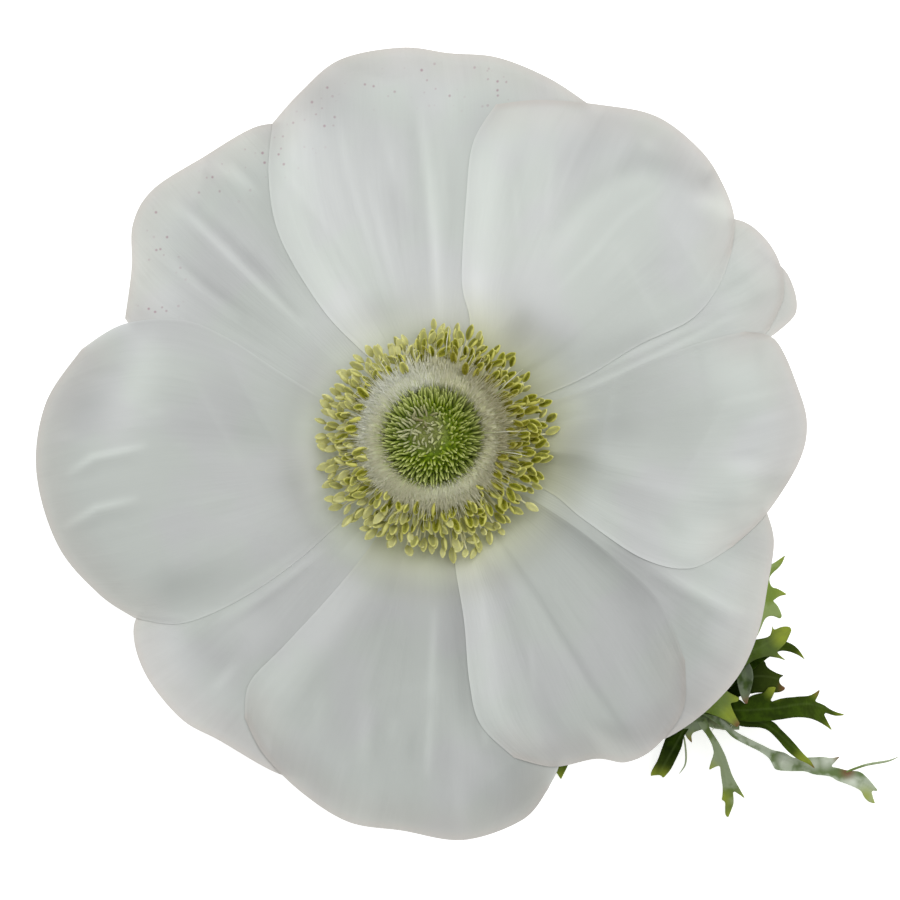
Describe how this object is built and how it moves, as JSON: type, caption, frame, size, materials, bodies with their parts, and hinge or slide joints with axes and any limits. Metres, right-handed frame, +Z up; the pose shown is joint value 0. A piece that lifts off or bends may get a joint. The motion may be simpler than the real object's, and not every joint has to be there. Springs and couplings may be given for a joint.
{
  "type": "anemone flower",
  "caption": "Cut white anemone flower lying as picked: layered petals, ring of stamens, green pistil head, bent stem and toothed bracts.",
  "frame": {"origin": "on the surface that the flower lies on, below the middle of its bounding box", "axes": "+Z up, away from the surface and towards the viewer of the bloom; +X along the longest side, towards the bracts"},
  "size_m": [0.0992, 0.091, 0.0277],
  "materials": {
    "petal": "satin",
    "pistil": "matte",
    "stamen": "matte",
    "leaf": "satin",
    "stem": "satin"
  },
  "bodies": {
    "root": {"stem": "stem", "petal_north": "petal", "petal_northeast": "petal", "petal_east_northeast": "petal", "petal_east_northeast_back": "petal", "petal_east": "petal", "petal_southeast_back": "petal", "petal_southeast": "petal", "petal_south": "petal", "petal_southwest": "petal", "petal_west": "petal", "petal_northwest": "petal", "pistil_head": "pistil", "stamens": "stamen", "bract_east": "leaf", "bract_north": "leaf", "bract_south": "leaf"}
  },
  "joints": []
}
